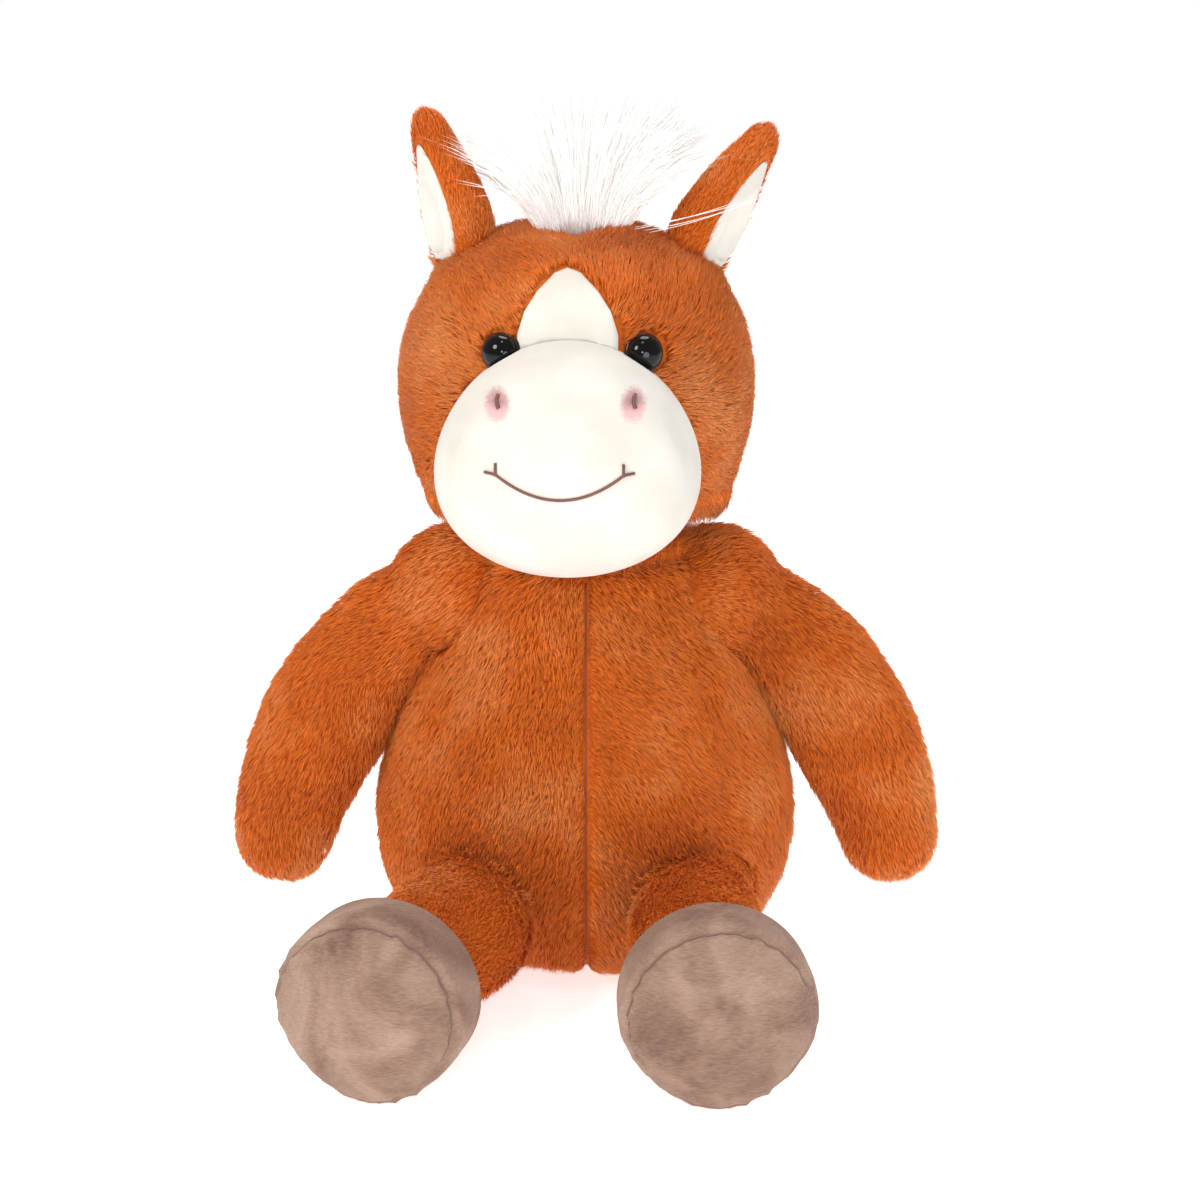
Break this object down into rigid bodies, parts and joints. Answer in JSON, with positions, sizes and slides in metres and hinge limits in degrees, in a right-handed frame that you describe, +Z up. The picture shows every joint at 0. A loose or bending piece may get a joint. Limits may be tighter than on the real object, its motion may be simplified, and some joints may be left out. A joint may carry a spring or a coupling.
{
  "type": "plush horse",
  "caption": "Seated stuffed toy horse with a round head, bulging cream muzzle, floppy sewn arms and legs, hoof pads, a tuft of white mane and a white tail.",
  "frame": {"origin": "middle of the footprint, on the plane of the flat seat and hooves", "axes": "+Z up through the head, -Y the way the face and the hooves point, +X the side of the toy's left hand as the viewer's right"},
  "size_m": [0.2498, 0.2836, 0.309],
  "materials": {
    "russet_pile": "matte",
    "cream_velour": "matte",
    "taupe_velour": "matte",
    "white_pile": "matte",
    "brown_thread": "matte",
    "fibre_fill": "matte",
    "bag_cloth": "matte",
    "black_gloss": "gloss",
    "washer_plastic": "satin"
  },
  "bodies": {
    "torso": {"torso_skin_left": "russet_pile", "torso_skin_right": "russet_pile", "torso_stuffing": "fibre_fill", "pellet_bag": "bag_cloth", "tail": "white_pile"},
    "neck": {"neck_wad": "fibre_fill"},
    "head": {"head_skin_left": "russet_pile", "head_skin_right": "russet_pile", "head_stuffing": "fibre_fill", "blaze_patch": "cream_velour", "muzzle_skin": "cream_velour", "muzzle_stuffing": "fibre_fill", "mouth_thread": "brown_thread", "nostril_stitch_left": "brown_thread", "nostril_stitch_right": "brown_thread", "eye_left": "black_gloss", "eye_right": "black_gloss", "eye_washer_left": "washer_plastic", "eye_washer_right": "washer_plastic", "ear_left": "russet_pile", "ear_right": "russet_pile", "ear_lining_left": "cream_velour", "ear_lining_right": "cream_velour", "forelock": "white_pile", "nape_mane": "white_pile"},
    "arm_left": {"arm_skin_left": "russet_pile", "arm_stuffing_left": "fibre_fill"},
    "arm_right": {"arm_skin_right": "russet_pile", "arm_stuffing_right": "fibre_fill"},
    "leg_left": {"leg_skin_left": "russet_pile", "leg_stuffing_left": "fibre_fill", "hoof_band_left": "taupe_velour", "hoof_sole_left": "taupe_velour", "hoof_stuffing_left": "fibre_fill"},
    "leg_right": {"leg_skin_right": "russet_pile", "leg_stuffing_right": "fibre_fill", "hoof_band_right": "taupe_velour", "hoof_sole_right": "taupe_velour", "hoof_stuffing_right": "fibre_fill"}
  },
  "joints": [
    {"name": "neck_turn", "type": "hinge", "parent": "torso", "child": "neck", "pos_m": [0, 0.02203, 0.151], "axis": [0, 0, 1], "range_deg": [-30, 30], "stiffness_Nm_per_rad": 0.3},
    {"name": "head_nod", "type": "hinge", "parent": "neck", "child": "head", "pos_m": [0, 0.02203, 0.151], "axis": [1, 0, 0], "range_deg": [-15, 15], "stiffness_Nm_per_rad": 1.2},
    {"name": "arm_left_raise", "type": "hinge", "parent": "torso", "child": "arm_left", "pos_m": [-0.045, 0.01903, 0.129], "axis": [0, 1, 0], "range_deg": [0, 45], "stiffness_Nm_per_rad": 0.1},
    {"name": "arm_right_raise", "type": "hinge", "parent": "torso", "child": "arm_right", "pos_m": [0.045, 0.01903, 0.129], "axis": [0, -1, 0], "range_deg": [0, 45], "stiffness_Nm_per_rad": 0.1},
    {"name": "leg_left_splay", "type": "hinge", "parent": "torso", "child": "leg_left", "pos_m": [-0.036, -0.01897, 0.031], "axis": [0, 0, -1], "range_deg": [-17, 13], "stiffness_Nm_per_rad": 0.1},
    {"name": "leg_right_splay", "type": "hinge", "parent": "torso", "child": "leg_right", "pos_m": [0.036, -0.01897, 0.031], "axis": [0, 0, 1], "range_deg": [-3, 27], "stiffness_Nm_per_rad": 0.1}
  ]
}
